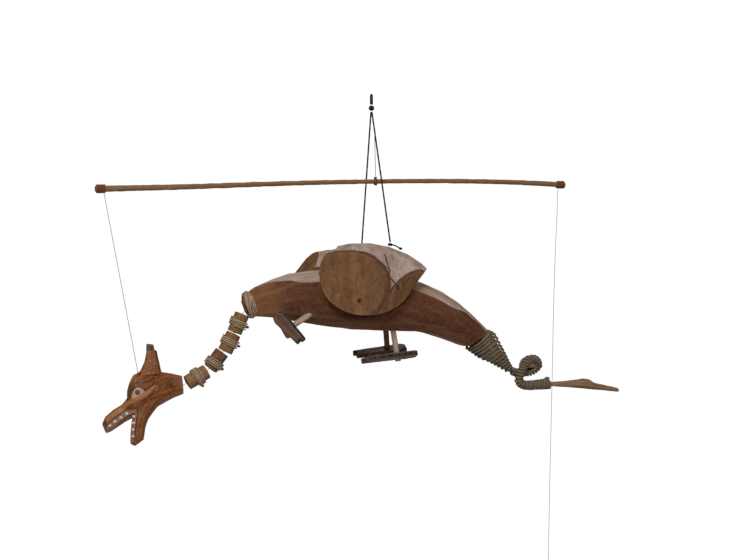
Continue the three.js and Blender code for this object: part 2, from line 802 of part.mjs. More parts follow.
const knotFoot = HANG_KNOT.z - HANG_KNOT.height / 2 - GAP;
function crest(x, shift) {
  const share = (x - shift[0] - WING.centre[0]) / WING.dome[0];
  return WING.centre[2] + shift[2] + WING.dome[2] * Math.sqrt(1 - share ** 2);
}
const RIDGE = {
  left: [14, -WING.centre[1], crest(14, [0, 0, 0])],
  right: [-3, WING.centre[1], crest(-3, WING.farShift)],
};
for (const [name, ridge] of Object.entries(RIDGE)) {
  const side = Math.sign(ridge[1]);
  const knotTop = [ridge[0], ridge[1], ridge[2] + 5.6];
  add(`hanging_cord_${name}`, cordTube([[0, side * 1.6, knotFoot], knotTop], CORD), COLOURS.blackCord);
  const tail = cordTube([
    [ridge[0] + 1, ridge[1], ridge[2] + 3],
    [ridge[0] + 6, ridge[1] + side, ridge[2] + 1.6],
    [ridge[0] + 12, ridge[1] + side * 3, ridge[2] - 2],
  ], CORD * 0.9, 4);
  const end = ball([ridge[0] + 12.4, ridge[1] + side * 3, ridge[2] - 2.2], [2.2, 1.7, 1.7], 6, 4);
  const knot = knotBall([ridge[0], ridge[1], ridge[2] + 2.8], 3, 5);
  const tied = join([knot, tail, end]).subtract(wingSolid(side, GAP));
  add(`ridge_knot_${name}`, shapeOf(tied), COLOURS.blackCord);
}

const threadRoute = [[2.4, -4.9, -50], [5.2, 0, tieTop.z + 1.6 + GAP]];
add("stick_thread", cordTube(threadRoute, THREAD), COLOURS.orangeThread);
add("head_line", cordTube([[-322.7, -6.8, -123.4], [-284.5, -3, -327]], NYLON), COLOURS.clearLine);
add("pull_line", cordTube([
  [254, 6, -111.8],
  [252.4, 6, -118],
  [253, 7, -133],
  [251.5, 8, -176],
  [249, 8, -252],
  [246.8, 8, -359],
  [244, 8, -491],
  [242, 8, -600],
], NYLON, 8), COLOURS.clearLine);
add("pull_knot", ball([242, 8, -602.4], [2.2, 2, 2], 6, 4), COLOURS.clearLine);
const lineShare = (k) => THREE.MathUtils.lerp(0.015, 0.985, k / NECK_STEPS);
const neckRun = Array.from({ length: NECK_STEPS + 1 }, (_, k) => neckPath.getPointAt(lineShare(k)).toArray());
add("neck_line", cordTube(neckRun, NYLON), COLOURS.clearLine);

export default group;
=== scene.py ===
"""A string-worked mobile: a carved wolf-headed creature hung on black cords under a natural stick.
Everything is in metres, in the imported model's frame: +Z up, the creature faces -X, its left side is -Y."""

import math

import bpy
import numpy as np
from mathutils import Matrix, Vector
from mathutils.noise import noise as hash_noise


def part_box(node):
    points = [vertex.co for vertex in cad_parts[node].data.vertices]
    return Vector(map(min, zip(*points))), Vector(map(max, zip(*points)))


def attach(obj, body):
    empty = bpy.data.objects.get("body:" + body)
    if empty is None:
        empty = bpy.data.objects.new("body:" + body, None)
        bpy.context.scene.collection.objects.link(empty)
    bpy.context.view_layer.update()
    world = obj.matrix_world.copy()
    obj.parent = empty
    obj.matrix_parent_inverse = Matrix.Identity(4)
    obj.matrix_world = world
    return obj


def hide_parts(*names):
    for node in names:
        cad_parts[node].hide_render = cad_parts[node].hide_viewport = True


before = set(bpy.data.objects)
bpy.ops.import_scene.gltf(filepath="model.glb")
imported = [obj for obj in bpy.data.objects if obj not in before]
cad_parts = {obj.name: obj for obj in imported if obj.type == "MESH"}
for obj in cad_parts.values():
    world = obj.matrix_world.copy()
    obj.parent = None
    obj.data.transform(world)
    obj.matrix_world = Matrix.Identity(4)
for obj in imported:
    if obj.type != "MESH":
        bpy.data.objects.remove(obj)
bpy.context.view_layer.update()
bpy.ops.object.select_all(action="DESELECT")
MM = 0.001


# ---- Camera ----
def aim_camera():
    azimuth, elevation, distance = math.radians(-20), math.radians(1.5), 1.8
    target = Vector((0.002, 0, -0.224))
    back = Vector(
        (
            math.sin(azimuth) * math.cos(elevation), -math.cos(azimuth) * math.cos(elevation),
            math.sin(elevation)
        )
    )
    bpy.ops.object.camera_add(location=target + back * distance)
    camera = bpy.context.object
    camera.rotation_mode = "QUATERNION"
    camera.rotation_quaternion = (-back).to_track_quat("-Z", "Y")
    camera.data.lens, camera.data.sensor_width = 72, 36
    bpy.context.scene.camera = camera


aim_camera()


# ---- Finishes ----
class Finish:
    """One material, built node by node on its Principled shader."""

    def __init__(self, name, roughness=0.6, **sockets):
        self.material = bpy.data.materials.new(name)
        self.material.use_nodes = True
        self.tree = self.material.node_tree
        self.shader = self.tree.nodes["Principled BSDF"]
        self.shader.inputs["Roughness"].default_value = roughness
        self.shader.inputs["Specular IOR Level"].default_value = 0.22
        for socket, value in sockets.items():
            self.shader.inputs[socket.replace("_", " ")].default_value = value

    def node(self, kind, **settings):
        made = self.tree.nodes.new("ShaderNode" + kind)
        for key, value in settings.items():
            setattr(made, key, value)
        return made

    def feed(self, socket, value):
        if isinstance(value, bpy.types.NodeSocket):
            self.tree.links.new(value, socket)
        else:
            wide = hasattr(value, "__len__") and len(value) == 3 and len(socket.default_value) == 4
            socket.default_value = (*value, 1) if wide else value

    def place(self, scale, source=None, turn=(0, 0, 0)):
        mapping = self.node("Mapping")
        mapping.inputs["Scale"].default_value = scale
        mapping.inputs["Rotation"].default_value = turn
        self.feed(mapping.inputs["Vector"], source or self.node("TexCoord").outputs["Object"])
        return mapping.outputs[0]

    def field(self, name):
        return self.node("Attribute", attribute_name=name).outputs["Fac"]

    def vector_field(self, name):
        return self.node("Attribute", attribute_name=name).outputs["Vector"]

    def noise(self, where, scale=1.0, detail=5.0, rough=0.6, twist=0.0):
        made = self.node("TexNoise")
        for socket, value in (
            ("Vector", where), ("Scale", scale), ("Detail", detail), ("Roughness", rough),
            ("Distortion", twist)
        ):
            self.feed(made.inputs[socket], value)
        return made.outputs["Fac"]

    def rings(self, where, scale, twist=6.0, detail=3.0):
        made = self.node("TexWave", wave_type="BANDS", bands_direction="Z")
        for socket, value in (("Vector", where), ("Scale", scale), ("Distortion", twist), ("Detail", detail)):
            self.feed(made.inputs[socket], value)
        return made.outputs["Fac"]

    def cells(self, where, scale):
        made = self.node("TexVoronoi")
        self.feed(made.inputs["Vector"], where)
        self.feed(made.inputs["Scale"], scale)
        return made.outputs["Distance"]

    def step(self, value, low, high, top=1.0, bottom=0.0):
        """bottom below low, top above high, and a smooth change between them."""
        made = self.node("MapRange", interpolation_type="SMOOTHSTEP")
        for socket, number in zip(made.inputs[:5], (value, low, high, bottom, top)):
            self.feed(socket, number)
        return made.outputs[0]

    def sum(self, a, b, how="ADD"):
        made = self.node("Math", operation=how)
        self.feed(made.inputs[0], a)
        self.feed(made.inputs[1], b)
        return made.outputs[0]

    def mix(self, share, under, over, how="MIX"):
        made = self.node("Mix", data_type="RGBA", blend_type=how)
        self.feed(made.inputs["Factor"], share)
        self.feed(made.inputs[6], under)
        self.feed(made.inputs[7], over)
        return made.outputs[2]

    def relief(self, height, distance, strength=1.0, under=None):
        made = self.node("Bump")
        made.inputs["Strength"].default_value = strength
        made.inputs["Distance"].default_value = distance
        self.feed(made.inputs["Height"], height)
        if under:
            self.feed(made.inputs["Normal"], under)
        return made.outputs[0]

    def done(self, colour, roughness=None, normal=None):
        self.feed(self.shader.inputs["Base Color"], colour)
        if roughness:
            self.feed(self.shader.inputs["Roughness"], roughness)
        if normal:
            self.feed(self.shader.inputs["Normal"], normal)
        return self.material


def timber(finish, light, dark, along=14, across=320, ring_scale=260, blotch=30, dirt=0.3):
    """Wood colour, its grain height and a blotch value, from the piece's own grain field."""
    grain = finish.vector_field("grain")
    streak = finish.noise(finish.place((along, across, across), grain), 1, 7, 0.62, 0.4)
    broad = finish.noise(finish.place((along * 0.5, across * 0.22, across * 0.22), grain), 1, 4, 0.5, 0.8)
    blotchy = finish.noise(finish.place((blotch,) * 3, grain), 1, 3, 0.55)
    rings = finish.rings(finish.place((0.35, 0.9, 1), grain), ring_scale, 9, 4)
    pores = finish.noise(finish.place((along * 6, across * 6, across * 6), grain), 1, 2, 0.5)
    colour = finish.mix(finish.step(streak, 0.34, 0.66), dark, light)
    colour = finish.mix(finish.step(broad, 0.35, 0.7, 0.45), colour, tuple(0.6 * c for c in dark))
    colour = finish.mix(finish.step(rings, 0.55, 0.98, 0.3), colour, tuple(0.7 * c for c in dark))
    colour = finish.mix(finish.step(blotchy, 0.3, 0.72, dirt), colour, tuple(0.55 * c for c in dark))
    colour = finish.mix(finish.step(pores, 0.62, 0.75, 0.5), colour, tuple(0.4 * c for c in dark))
    height = finish.sum(streak, finish.sum(rings, 0.35, "MULTIPLY"), "SUBTRACT")
    return colour, height, blotchy


def worked(
    finish, colour, height, blotchy, rough=(0.42, 0.66), edge=0.35, edge_colour=(0.6, 0.36, 0.18),
    depth=0.0005
):
    """The last of a wooden finish: knife marks, worn edges, painted shade in the hollows and uneven wax."""
    knife = finish.cells(finish.place((55, 90, 90), finish.vector_field("grain")), 1)
    nicks = finish.noise(finish.place((260,) * 3), 1, 3, 0.6)
    worn = finish.step(finish.sum(finish.field("edge"), finish.sum(nicks, 0.5, "MULTIPLY")), 0.62, 0.95, edge)
    colour = finish.mix(worn, colour, edge_colour)
    # Painted shade: hollows, where the edge field is low, are darkened toward near black.
    hollow_shade = finish.step(finish.field("edge"), 0.1, 0.42, 0.0, 0.45)
    colour = finish.mix(hollow_shade, colour, (0.03, 0.012, 0.005))
    shine = finish.step(
        finish.sum(blotchy, finish.sum(height, 0.3, "MULTIPLY")), 0.3, 0.85, rough[1], rough[0]
    )
    normal = finish.relief(height, depth, 0.8)
    normal = finish.relief(knife, depth * 2.2, 0.5, normal)
    return finish.done(colour, shine, normal)


def over(finish, colour, field, paint, soft=0.0004, ragged=0.0005, scale=180):
    """Paints where a signed field, in metres, is below zero, with a hand-done edge."""
    waver = finish.sum(
        finish.sum(finish.noise(finish.place((scale,) * 3), 1, 3, 0.6), 0.5, "SUBTRACT"), ragged * 4,
        "MULTIPLY"
    )
    inside = finish.step(finish.sum(finish.field(field), waver), -soft, soft, 0.0, 1.0)
    return finish.mix(inside, colour, paint)


def plain_wood(name, light, dark, **kind):
    finish = Finish(name)
    settings = {
        key: kind.pop(key) for key in ("along", "across", "ring_scale", "blotch", "dirt") if key in kind
    }
    return worked(finish, *timber(finish, light, dark, **settings), **kind)


def body_finish():
    finish = Finish("stained and pale body wood")
    brown, height, blotchy = timber(finish, (0.21, 0.066, 0.023), (0.105, 0.03, 0.009), 9, 230, 200, 22)
    pale, pale_height, _ = timber(finish, (0.84, 0.63, 0.5), (0.55, 0.36, 0.26), 8, 260, 240, 26, 0.16)
    orange = timber(finish, (0.33, 0.125, 0.045), (0.16, 0.05, 0.016), 10, 210)[0]
    # Painted light: the lower facet, below the belly line, is a lighter orange brown that stands for light
    # bounced up from the floor.
    colour = over(finish, brown, "belly_lit_from_below", orange, 0.0012, 0.001)
    # Painted light: the front of the body is lightened, as where it faces the light.
    colour = over(finish, colour, "shoulder_lit", finish.mix(0.55, colour, (0.36, 0.135, 0.05)), 0.012, 0.003, 60)
    # Painted shade: near-black strokes along the carved notches stand for the shade inside them.
    colour = over(finish, colour, "notch_shade", (0.035, 0.011, 0.004), 0.0005, 0.0003)
    colour = over(finish, colour, "shade", finish.mix(0.6, colour, (0.03, 0.01, 0.004)), 0.0006, 0.0004)
    colour = over(finish, colour, "band", pale, 0.0005, 0.0006)
    return worked(finish, colour, height, blotchy, (0.36, 0.6), 0.22, (0.5, 0.26, 0.13), 0.0006)


def wing_finish():
    finish = Finish("barkless log and sawn face")
    pale, height, blotchy = timber(finish, (0.8, 0.62, 0.52), (0.5, 0.33, 0.25), 16, 150, 120, 34, 0.2)
    gnarl = finish.noise(finish.place((70, 150, 60)), 1, 6, 0.65, 1.4)
    pale = finish.mix(finish.step(gnarl, 0.5, 0.68, 0.7), pale, (0.3, 0.18, 0.13))
    pale = finish.mix(
        finish.step(finish.noise(finish.place((40,) * 3), 1, 3), 0.5, 0.7, 0.4), pale, (0.87, 0.68, 0.62)
    )
    # A darker patch near the wing's lower point.
    colour = over(finish, pale, "smudge", finish.mix(0.7, pale, (0.16, 0.08, 0.05)), 0.002, 0.001)
    colour = over(finish, colour, "crack", (0.07, 0.03, 0.018), 0.0003, 0.0005, 260)
    sawn = timber(finish, (0.35, 0.165, 0.058), (0.2, 0.078, 0.025), 22, 120, 90, 28, 0.25)[0]
    colour = over(finish, colour, "sawn", sawn, 0.0003, 0.0002)
    colour = over(finish, colour, "rim", (0.11, 0.04, 0.015), 0.0003, 0.0002)
    colour = over(finish, colour, "knot", (0.05, 0.017, 0.008), 0.0004, 0.0002)
    return worked(finish, colour, height, blotchy, (0.5, 0.75), 0.1, (0.7, 0.5, 0.36), 0.0007)


def head_finish():
    finish = Finish("waxed head wood, painted")
    wood, height, blotchy = timber(finish, (0.36, 0.1, 0.018), (0.2, 0.05, 0.008), 26, 300, 240, 60, 0.35)
    tan = timber(finish, (0.66, 0.3, 0.12), (0.4, 0.14, 0.04), 30, 300)[0]
    colour = over(finish, wood, "bevel", tan, 0.0012, 0.0004)
    colour = over(
        finish, colour, "gum", timber(finish, (0.5, 0.24, 0.15), (0.33, 0.12, 0.07), 30, 300)[0], 0.0004,
        0.0001
    )
    # Painted shade: the carved recess behind the cheek is darkened toward near black.
    colour = over(finish, colour, "recess_shade", finish.mix(0.7, colour, (0.05, 0.014, 0.006)), 0.0012, 0.0008)
    colour = over(finish, colour, "knifework", (0.06, 0.018, 0.006), 0.0003, 0.0002)
    black = (0.012, 0.009, 0.009)
    colour = over(finish, colour, "eye", (0.62, 0.46, 0.38), 0.0002, 0.0001)
    colour = over(finish, colour, "pupil", black, 0.0002, 0.0001)
    colour = over(finish, colour, "lines", black, 0.0002, 0.0001)
    colour = over(finish, colour, "ridge", tan, 0.0007, 0.0003)
    colour = over(finish, colour, "nose", (0.1, 0.022, 0.016), 0.0005, 0.0003)
    colour = over(finish, colour, "tips", (0.02, 0.02, 0.022), 0.0003, 0.0005)
    return worked(finish, colour, height, blotchy, (0.28, 0.5), 0.3, (0.62, 0.3, 0.12), 0.0003)


def foot_finish(name, light, dark):
    finish = Finish(name)
    wood, height, blotchy = timber(finish, light, dark, 22, 260, 240, 50)
    colour = over(finish, wood, "painted", (0.016, 0.012, 0.011), 0.0003, 0.0005)
    return worked(finish, colour, height, blotchy, (0.4, 0.65), 0.18, (0.5, 0.34, 0.24), 0.0004)


def cord_finish(name, light, dark, twists=1, roughness=0.75, fuzz=0.35):
    """Laid or braided fibre, on a tube's own running measure, with painted shade in the grooves between
    strands and a painted highlight on their crowns.
    """
    finish = Finish(name, roughness, Sheen_Weight=fuzz * 0.3)
    run = finish.vector_field("run")
    fibre = finish.noise(finish.place((2500, 900 * twists, 900), run), 1, 3, 0.6)
    worn = finish.noise(finish.place((120,) * 3), 1, 4, 0.6)
    colour = finish.mix(finish.step(fibre, 0.3, 0.7), dark, light)
    colour = finish.mix(finish.step(worn, 0.45, 0.75, 0.4), colour, tuple(0.45 * c for c in dark))
    # Painted shade: the grooves between strands are darkened.
    colour = finish.mix(
        finish.step(finish.field("groove"), 0.15, 0.6, 0.0, 0.85), colour, tuple(0.25 * c for c in dark)
    )
    # Painted highlight: the crowns of the strands are lightened.
    colour = finish.mix(finish.step(finish.field("groove"), 0.8, 1.0, 0.5), colour, light)
    return finish.done(colour, None, finish.relief(fibre, 0.00025, 0.9))


def line_finish():
    finish = Finish("clear nylon line", 0.22, Transmission_Weight=0.55, IOR=1.5)
    cloud = finish.noise(finish.place((300,) * 3), 1, 2)
    return finish.done(
        finish.mix(cloud, (0.5, 0.51, 0.52), (0.72, 0.73, 0.74)), finish.step(cloud, 0.3, 0.7, 0.35, 0.18)
    )


FINISHES = {
    "body_wood": body_finish(),
    "wing_wood": wing_finish(),
    "head_wood": head_finish(),
    "neck_tan_wood": plain_wood(
        "tan neck wood", (0.42, 0.2, 0.05), (0.22, 0.075, 0.014), along=30, across=260, rough=(0.3, 0.5)
    ),
    "neck_dark_wood": plain_wood(
        "red-brown neck wood", (0.22, 0.055, 0.013), (0.1, 0.02, 0.005), along=30, across=260,
        rough=(0.3, 0.5)
    ),
    "pale_dowel": plain_wood(
        "pale dowel", (0.86, 0.7, 0.54), (0.58, 0.4, 0.26), along=40, across=500, dirt=0.12, edge=0.05
    ),
    # Painted shade: a dark copy of the pale dowel, for the far rear leg in shade.
    "stained_dowel": plain_wood(
        "pale dowel in painted shade", (0.2, 0.09, 0.045), (0.09, 0.035, 0.017), along=40, across=400
    ),
    "foot_wood": foot_finish("front foot wood", (0.33, 0.185, 0.115), (0.16, 0.075, 0.045)),
    "rear_foot_wood": foot_finish("rear foot wood", (0.38, 0.23, 0.16), (0.16, 0.075, 0.045)),
    "tail_wood": plain_wood("split tail wood", (0.5, 0.32, 0.17), (0.2, 0.1, 0.06), along=18, across=300),
    "stick_wood": plain_wood(
        "peeled stick", (0.36, 0.16, 0.07), (0.13, 0.04, 0.014), along=12, across=330, rough=(0.45, 0.7),
        blotch=45
    ),
    "cream_cord": cord_finish("cream cord", (0.78, 0.6, 0.42), (0.4, 0.27, 0.15)),
    "tail_rope": cord_finish("old hemp rope", (0.4, 0.31, 0.2), (0.11, 0.07, 0.036), 2),
    "orange_thread": cord_finish("orange thread", (0.42, 0.13, 0.04), (0.17, 0.045, 0.02)),
    "black_cord": cord_finish("braided black cord", (0.035, 0.032, 0.03), (0.009, 0.008, 0.008), 2, 0.6, 0.2),
    "clear_line": line_finish(),
}


# ---- Making pieces ----
def settle(piece, nodes, slot, finish=None):
    """A finished piece: its finish, the body that it rides on and the solids that it stands for."""
    piece.name = piece.data.name = (
        ("carved_" if slot.endswith(("wood", "dowel")) else "laid_") + (nodes[0] if nodes else piece.name)
    )
    piece.data.materials.clear()
    piece.data.materials.append(FINISHES[finish or slot])
    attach(piece, "root")
    if nodes:
        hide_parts(*nodes)
    bpy.ops.object.select_all(action="DESELECT")
    return piece


def take(piece):
    bpy.ops.object.select_all(action="DESELECT")
    piece.select_set(True)
    bpy.context.view_layer.objects.active = piece


def apply_modifier(piece, kind, **settings):
    take(piece)
    made = piece.modifiers.new(kind.lower(), kind)
    for key, value in settings.items():
        setattr(made, key, value)
    bpy.ops.object.modifier_apply(modifier=made.name)


def points_of(piece):
    co = np.zeros(len(piece.data.vertices) * 3)
    piece.data.vertices.foreach_get("co", co)
    return co.reshape(-1, 3)


def write_field(piece, name, values):
    kind = "FLOAT_VECTOR" if values.ndim == 2 else "FLOAT"
    made = piece.data.attributes.new(name, kind, "POINT")
    made.data.foreach_set("vector" if values.ndim == 2 else "value", values.astype(np.float32).ravel())


def edge_field(piece):
    """0.5 on the flat, more on outward edges and less in hollows, spread over a few neighbours."""
    mesh, co = piece.data, points_of(piece)
    normals = np.zeros(len(co) * 3)
    mesh.vertex_normals.foreach_get("vector", normals)
    normals = normals.reshape(-1, 3)
    pairs = np.zeros(len(mesh.edges) * 2, int)
    mesh.edges.foreach_get("vertices", pairs)
    a, b = pairs.reshape(-1, 2).T
    run = co[b] - co[a]
    bend = (run * (normals[b] - normals[a])).sum(1) / np.maximum((run**2).sum(1), 1e-12)
    count = np.bincount(a, minlength=len(co)) + np.bincount(b, minlength=len(co))
    value = (np.bincount(a, bend, len(co)) + np.bincount(b, bend, len(co))) / np.maximum(count, 1)
    for _ in range(2):
        value = 0.5 * value + 0.5 * (
            np.bincount(a, value[b], len(co)) + np.bincount(b, value[a], len(co))
        ) / np.maximum(count, 1)
    write_field(piece, "edge", np.clip(0.5 + value * 0.0012, 0, 1))


def carve(name, node, voxel, hewn=0.0003, hewn_size=0.012, smooth=3):
    """A solid's copy, cut fine, its edges eased and its faces hewn by hand."""
    take(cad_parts[node])
    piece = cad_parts[node].copy()
    piece.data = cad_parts[node].data.copy()
    for key in [k for k in piece.keys() if k.startswith("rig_")]:
        del piece[key]
    piece.parent = None
    piece.name = piece.data.name = name
    bpy.context.scene.collection.objects.link(piece)
    take(piece)
    bpy.ops.object.mode_set(mode="EDIT")
    bpy.ops.mesh.select_all(action="SELECT")
    bpy.ops.mesh.remove_doubles(threshold=0.00002)
    bpy.ops.object.mode_set(mode="OBJECT")
    apply_modifier(piece, "REMESH", mode="VOXEL", voxel_size=voxel)
    apply_modifier(piece, "SMOOTH", iterations=smooth, factor=0.5)
    if hewn:
        clouds = bpy.data.textures.new(name + " hewing", "CLOUDS")
        clouds.noise_scale, clouds.noise_depth = hewn_size, 2
        apply_modifier(
            piece, "DISPLACE", texture=clouds, texture_coords="LOCAL", strength=hewn * 2, mid_level=0.5
        )
    bpy.ops.object.shade_smooth()
    return piece


def grain_along(piece, start, end):
    """Straight grain: the first number runs from start toward end, the others lie across."""
    axis = (Vector(end) - Vector(start)).normalized()
    side = axis.orthogonal().normalized()
    turn = np.array([axis, side, axis.cross(side)])
    write_field(piece, "grain", (points_of(piece) - np.array(start)) @ turn.T)


def round_up(piece, start, end, least, radius):
    """Turns a faceted barrel round: what lies beyond least from its axis goes to the radius."""
    axis = np.array((Vector(end) - Vector(start)).normalized())
    co = points_of(piece)
    away = co - np.array(start)
    run = (away @ axis)[:, None] * axis
    out = away - run
    reach = np.linalg.norm(out, axis=1)
    wave = np.array([hash_noise(Vector(p) * 120) for p in co]) * 0.00018
    share = np.where(reach > least, (radius + wave) / np.maximum(reach, 1e-9), 1)
    piece.data.vertices.foreach_set("co", (np.array(start) + run + out * share[:, None]).ravel())
    piece.data.update()


def near_line(points, route):
    """Least distance of each point to a broken line, in whatever plane both are given."""
    best = np.full(len(points), 1e9)
    for a, b in zip(np.array(route[:-1], float), np.array(route[1:], float)):
        share = np.clip((points - a) @ (b - a) / max(((b - a) ** 2).sum(), 1e-12), 0, 1)
        best = np.minimum(best, np.linalg.norm(points - (a + share[:, None] * (b - a)), axis=1))
    return best


def inside_outline(points, outline):
    """Signed distance to a closed outline in a plane, negative inside."""
    ring = np.array([*outline, outline[0]], float)
    crossings = np.zeros(len(points), bool)
    for (x1, z1), (x2, z2) in zip(ring[:-1], ring[1:]):
        spans = (z1 > points[:, 1]) != (z2 > points[:, 1])
        crossings ^= spans & (points[:, 0] < (x2 - x1) * (points[:, 1] - z1) / ((z2 - z1) or 1e-12) + x1)
    return np.where(crossings, -1, 1) * near_line(points, ring)


def smooth_route(points, steps):
    """A centripetal smooth line through points, as the solids' cords follow."""
    p = [Vector(q) for q in points]
    p = [p[0] * 2 - p[1], *p, p[-1] * 2 - p[-2]]
    out = []
    for k in range(1, len(p) - 2):
        t = [0.0]
        for a, b in zip(p[k - 1 : k + 2], p[k : k + 3]):
            t.append(t[-1] + max((b - a).length, 1e-9) ** 0.5)
        for s in range(steps):
            u = t[1] + (t[2] - t[1]) * s / steps
            a = [
                p[k - 1 + i] * ((t[i + 1] - u) / (t[i + 1] - t[i]))
                + p[k + i] * ((u - t[i]) / (t[i + 1] - t[i])) for i in range(3)
            ]
            b = [
                a[i] * ((t[i + 2] - u) / (t[i + 2] - t[i])) + a[i + 1] * ((u - t[i]) / (t[i + 2] - t[i]))
                for i in range(2)
            ]
            out.append(b[0] * ((t[2] - u) / (t[2] - t[1])) + b[1] * ((u - t[1]) / (t[2] - t[1])))
    return [*out, p[-2]]


def strand(name, route, radius, strands=3, lay=None, sides=12, lobe=0.16, flat=1.0):
    """A tube along a route whose section has one lobe for each laid strand, turning once each lay."""
    route = [Vector(p) for p in route]
    lay = lay or (0.02 if callable(radius) else radius * 9)
    sides = max(sides, strands * 4)
    points, run, groove, travelled = [], [], [], 0.0
    tangent = (route[1] - route[0]).normalized()
    side = tangent.orthogonal().normalized()
    for k, centre in enumerate(route):
        after, before = route[min(k + 1, len(route) - 1)], route[max(k - 1, 0)]
        turned_to = (after - before).normalized()
        side = (side - turned_to * side.dot(turned_to)).normalized()
        up = turned_to.cross(side)
        travelled += (centre - route[k - 1]).length if k else 0
        reach = radius(k / (len(route) - 1)) if callable(radius) else radius
        for i in range(sides):
            angle = math.tau * i / sides
            turn = angle - math.tau * travelled / lay
            r = reach * (1 - lobe + lobe * abs(math.cos(strands * turn / 2))) if strands > 1 else reach
            points.append(centre + side * (r * math.cos(angle)) + up * (r * math.sin(angle) * flat))
            run.append((travelled, reach * turn, r))
            groove.append(abs(math.cos(strands * turn / 2)) if strands > 1 else 0.8)
    count = len(route)
    faces = [
        (k * sides + i, k * sides + (i + 1) % sides, (k + 1) * sides + (i + 1) % sides, (k + 1) * sides + i)
        for k in range(count - 1) for i in range(sides)
    ]
    faces += [tuple(range(sides))[::-1], tuple((count - 1) * sides + i for i in range(sides))]
    mesh = bpy.data.meshes.new(name)
    mesh.from_pydata(points, [], faces)
    mesh.update()
    piece = bpy.data.objects.new(name, mesh)
    bpy.context.scene.collection.objects.link(piece)
    write_field(piece, "run", np.array(run))
    write_field(piece, "groove", np.array(groove))
    take(piece)
    bpy.ops.object.shade_smooth_by_angle(angle=math.radians(60))
    return piece


def as_one(name, parts):
    bpy.ops.object.select_all(action="DESELECT")
    for part in parts:
        part.select_set(True)
    bpy.context.view_layer.objects.active = parts[0]
    if len(parts) > 1:
        bpy.ops.object.join()
    parts[0].name = parts[0].data.name = name
    return parts[0]


def winding(centre, axis, radius, turns, pitch, squash=1.0, start=0.0, wander=0.0, steps=30, seed=0):
    """Points of a cord wound round an axis, each turn lying beside the last."""
    centre, axis = Vector(centre), Vector(axis).normalized()
    side = (axis.cross(Vector((0, 1, 0)))).normalized()
    across = axis.cross(side)
    out = []
    for k in range(int(turns * steps) + 1):
        turn = k / steps
        angle = math.tau * turn + start
        r = radius * (1 + wander * hash_noise(Vector((turn * 2.3, seed, 0))))
        drift = wander * pitch * 4 * hash_noise(Vector((seed, turn * 3.1, 0)))
        out.append(
            centre + axis * ((turn - turns / 2) * pitch + drift) + side * (r * math.cos(angle))
            + across * (r * squash * math.sin(angle))
        )
    return out


def knot(name, centre, size, cord, turns=3, seed=1):
    """A small hard knot: a cord that crosses over itself round a ball."""
    centre, out = Vector(centre), []
    for k in range(turns * 16 + 1):
        a = math.tau * k / 16
        tilt = 0.9 * math.sin(a * 0.37 + seed)
        p = Vector(
            (
                math.cos(a), math.sin(a) * math.cos(tilt),
                math.sin(a) * math.sin(tilt) + 0.5 * math.sin(a * 0.73 + seed)
            )
        )
        p = p.normalized()
        out.append(centre + Vector((p.x * (size[0] - cord), p.y * (size[1] - cord), p.z * (size[2] - cord))))
    return strand(name, out, cord, 2, cord * 8, 8)


# ---- Cords ----
CORD, NYLON, THREAD = 2.0 * MM, 0.7 * MM, 0.8 * MM


def spaced(a, b, count):
    a, b = Vector(a), Vector(b)
    return [a.lerp(b, k / count) for k in range(count + 1)]


def length_of(route):
    return sum((Vector(b) - Vector(a)).length for a, b in zip(route, route[1:]))


loop = strand(
    "hanging_loop",
    smooth_route(
        [
            (-0.001, 0, -0.013), (-0.001, 0, -0.0065), (-0.0009, 0, -0.0024), (0, 0, -0.001),
            (0.0009, 0, -0.0024), (0.001, 0, -0.0065), (0.001, 0, -0.013)
        ],
        6
    ),
    CORD / 2, 2, 0.005, 10
)
settle(loop, ["hanging_loop"], "black_cord")
hitch = as_one(
    "hanging_knot",
    [
        knot("hitch", (0, 0, -0.0175), (0.0035, 0.0032, 0.004), 0.0012, 4),
        knot("hitch core", (0, 0, -0.0175), (0.0028, 0.0026, 0.0034), 0.0014, 3, 4)
    ]
)
settle(hitch, ["hanging_knot"], "black_cord")
for side, name, foot, ridge in (
    (-1, "left", (0, -0.0016, -0.0218), (0.014, -0.027, -0.1841)),
    (1, "right", (0, 0.0016, -0.0218), (-0.003, 0.027, -0.1908))
):
    x, y, z = ridge
    route = spaced(foot, (x, y, z + 0.0056), 60)
    drop = settle(
        strand(f"hanging_cord_{name}", route, CORD / 2, 2, 0.0042, 10, 0.14), [f"hanging_cord_{name}"],
        "black_cord"
    )
    tail = smooth_route(
        [
            (x + 0.001, y, z + 0.003), (x + 0.006, y + side * 0.001, z + 0.0016),
            (x + 0.012, y + side * 0.003, z - 0.002)
        ],
        8
    )
    tied = as_one(f"ridge_knot_{name}", [
        knot("ridge hitch", (x, y, z + 0.0028), (0.003, 0.0027, 0.0026), 0.0011, 3, 2),
        knot("ridge hitch core", (x, y, z + 0.0028), (0.0022, 0.002, 0.002), 0.0012, 3, 5),
        strand("cord tail", tail, 0.0009, 2, 0.004, 10),
        knot("tail hitch", (x + 0.0122, y + side * 0.003, z - 0.002), (0.0022, 0.0018, 0.0018), 0.0009, 3, 3),
    ])
    settle(tied, [f"ridge_knot_{name}"], "black_cord")

